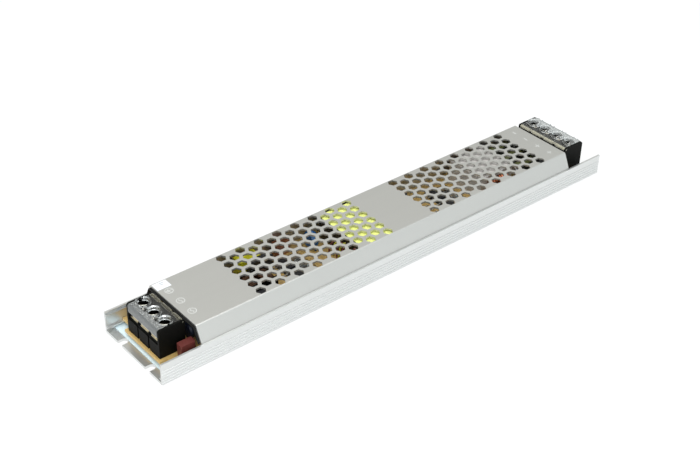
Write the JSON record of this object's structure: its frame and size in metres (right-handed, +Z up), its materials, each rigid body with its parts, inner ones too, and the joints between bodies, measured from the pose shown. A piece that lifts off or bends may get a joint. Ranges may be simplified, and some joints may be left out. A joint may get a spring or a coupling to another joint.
{
  "type": "mesh case switching power supply",
  "caption": "Long, flat switching power supply: ribbed aluminium channel, folded honeycomb cover, clear-covered screw terminals at both ends, loaded circuit board inside.",
  "frame": {"origin": "middle of the underside of the base channel", "axes": "X along the length from the input end (-X) to the output end (+X), Y across, Z up"},
  "size_m": [0.31, 0.052, 0.0233],
  "materials": {
    "base_anodised": "satin",
    "cover_sheet": "satin",
    "liner_sheet": "matte",
    "board_laminate": "matte",
    "plated_steel": "satin",
    "clamp_steel": "satin",
    "contact_brass": "satin",
    "black_film": "gloss",
    "white_sticker": "matte",
    "black_moulding": "matte",
    "clear_cover": "clear",
    "fuse_body": "satin",
    "dark_coating": "matte",
    "blue_coating": "satin",
    "brown_coating": "satin",
    "capacitor_sleeve": "satin",
    "yellow_case": "satin",
    "ferrite": "matte",
    "inductor_ferrite": "matte",
    "copper_wire": "gloss",
    "winding_tape": "satin",
    "yellow_tape": "satin",
    "device_body": "matte",
    "resistor_body": "satin",
    "thermal_pad": "matte"
  },
  "bodies": {
    "case": {"base_channel": "base_anodised", "insulating_sheet": "liner_sheet", "circuit_board": "board_laminate", "board_spacers": "plated_steel", "board_screws": "plated_steel", "cover": "cover_sheet", "insulation_film": "black_film", "inspection_sticker": "white_sticker", "input_terminal_block": "black_moulding", "input_contacts": "contact_brass", "output_terminal_block": "black_moulding", "output_contacts": "contact_brass", "fuse": "fuse_body", "thermistor": "dark_coating", "varistor": "dark_coating", "bulk_capacitor_1": "capacitor_sleeve", "bulk_capacitor_2": "capacitor_sleeve", "bulk_capacitor_3": "capacitor_sleeve", "x_capacitor": "yellow_case", "choke_core": "ferrite", "choke_bobbins": "black_moulding", "choke_windings": "copper_wire", "bridge_rectifier": "device_body", "mosfet_1": "device_body", "mosfet_2": "device_body", "snubber_capacitor": "brown_coating", "y_capacitor": "blue_coating", "transformer_core": "ferrite", "transformer_bobbin": "black_moulding", "transformer_winding": "winding_tape", "transformer_tape": "yellow_tape", "control_chip": "device_body", "optocoupler": "device_body", "supply_capacitor": "capacitor_sleeve", "resistors": "resistor_body", "output_diode_1": "device_body", "output_diode_2": "device_body", "thermal_pads": "thermal_pad", "device_screws": "plated_steel", "inductor_core": "inductor_ferrite", "inductor_winding": "copper_wire", "output_capacitors": "capacitor_sleeve"},
    "input_flip_cover": {"input_flip_cover": "clear_cover"},
    "output_flip_cover": {"output_flip_cover": "clear_cover"},
    "input_clamp_plate_1": {"input_clamp_plate_1": "clamp_steel"},
    "input_screw_1": {"input_screw_1": "plated_steel"},
    "input_clamp_plate_2": {"input_clamp_plate_2": "clamp_steel"},
    "input_screw_2": {"input_screw_2": "plated_steel"},
    "input_clamp_plate_3": {"input_clamp_plate_3": "clamp_steel"},
    "input_screw_3": {"input_screw_3": "plated_steel"},
    "output_clamp_plate_1": {"output_clamp_plate_1": "clamp_steel"},
    "output_screw_1": {"output_screw_1": "plated_steel"},
    "output_clamp_plate_2": {"output_clamp_plate_2": "clamp_steel"},
    "output_screw_2": {"output_screw_2": "plated_steel"},
    "output_clamp_plate_3": {"output_clamp_plate_3": "clamp_steel"},
    "output_screw_3": {"output_screw_3": "plated_steel"},
    "output_clamp_plate_4": {"output_clamp_plate_4": "clamp_steel"},
    "output_screw_4": {"output_screw_4": "plated_steel"}
  },
  "joints": [
    {"name": "input_clamp_plate_1_slide", "type": "slide", "parent": "case", "child": "input_clamp_plate_1", "axis": [0, 0, 1], "range_m": [0, 0.00275]},
    {"name": "input_screw_1_turn", "type": "hinge", "parent": "input_clamp_plate_1", "child": "input_screw_1", "pos_m": [-0.14165, -0.0095, 0.015], "axis": [0, 0, 1], "range_deg": [0, 1981]},
    {"name": "input_clamp_plate_2_slide", "type": "slide", "parent": "case", "child": "input_clamp_plate_2", "axis": [0, 0, 1], "range_m": [0, 0.00275]},
    {"name": "input_screw_2_turn", "type": "hinge", "parent": "input_clamp_plate_2", "child": "input_screw_2", "pos_m": [-0.14165, 0, 0.015], "axis": [0, 0, 1], "range_deg": [0, 1981]},
    {"name": "input_clamp_plate_3_slide", "type": "slide", "parent": "case", "child": "input_clamp_plate_3", "axis": [0, 0, 1], "range_m": [0, 0.00275]},
    {"name": "input_screw_3_turn", "type": "hinge", "parent": "input_clamp_plate_3", "child": "input_screw_3", "pos_m": [-0.14165, 0.0095, 0.015], "axis": [0, 0, 1], "range_deg": [0, 1981]},
    {"name": "output_clamp_plate_1_slide", "type": "slide", "parent": "case", "child": "output_clamp_plate_1", "axis": [0, 0, 1], "range_m": [0, 0.00275]},
    {"name": "output_screw_1_turn", "type": "hinge", "parent": "output_clamp_plate_1", "child": "output_screw_1", "pos_m": [0.13895, 0.01425, 0.015], "axis": [0, 0, 1], "range_deg": [0, 1981]},
    {"name": "output_clamp_plate_2_slide", "type": "slide", "parent": "case", "child": "output_clamp_plate_2", "axis": [0, 0, 1], "range_m": [0, 0.00275]},
    {"name": "output_screw_2_turn", "type": "hinge", "parent": "output_clamp_plate_2", "child": "output_screw_2", "pos_m": [0.13895, 0.00475, 0.015], "axis": [0, 0, 1], "range_deg": [0, 1981]},
    {"name": "output_clamp_plate_3_slide", "type": "slide", "parent": "case", "child": "output_clamp_plate_3", "axis": [0, 0, 1], "range_m": [0, 0.00275]},
    {"name": "output_screw_3_turn", "type": "hinge", "parent": "output_clamp_plate_3", "child": "output_screw_3", "pos_m": [0.13895, -0.00475, 0.015], "axis": [0, 0, 1], "range_deg": [0, 1981]},
    {"name": "output_clamp_plate_4_slide", "type": "slide", "parent": "case", "child": "output_clamp_plate_4", "axis": [0, 0, 1], "range_m": [0, 0.00275]},
    {"name": "output_screw_4_turn", "type": "hinge", "parent": "output_clamp_plate_4", "child": "output_screw_4", "pos_m": [0.13895, -0.01425, 0.015], "axis": [0, 0, 1], "range_deg": [0, 1981]},
    {"name": "input_flip_cover_hinge", "type": "hinge", "parent": "case", "child": "input_flip_cover", "pos_m": [-0.1345, 0, 0.0214], "axis": [0, 1, 0], "range_deg": [0, 100]},
    {"name": "output_flip_cover_hinge", "type": "hinge", "parent": "case", "child": "output_flip_cover", "pos_m": [0.1318, 0, 0.0214], "axis": [0, -1, 0], "range_deg": [0, 100]}
  ],
  "couplings": [
    {"joint": "input_screw_1_turn", "follows": "input_clamp_plate_1_slide", "rad_per_m": 12566},
    {"joint": "input_screw_2_turn", "follows": "input_clamp_plate_2_slide", "rad_per_m": 12566},
    {"joint": "input_screw_3_turn", "follows": "input_clamp_plate_3_slide", "rad_per_m": 12566},
    {"joint": "output_screw_1_turn", "follows": "output_clamp_plate_1_slide", "rad_per_m": 12566},
    {"joint": "output_screw_2_turn", "follows": "output_clamp_plate_2_slide", "rad_per_m": 12566},
    {"joint": "output_screw_3_turn", "follows": "output_clamp_plate_3_slide", "rad_per_m": 12566},
    {"joint": "output_screw_4_turn", "follows": "output_clamp_plate_4_slide", "rad_per_m": 12566}
  ]
}
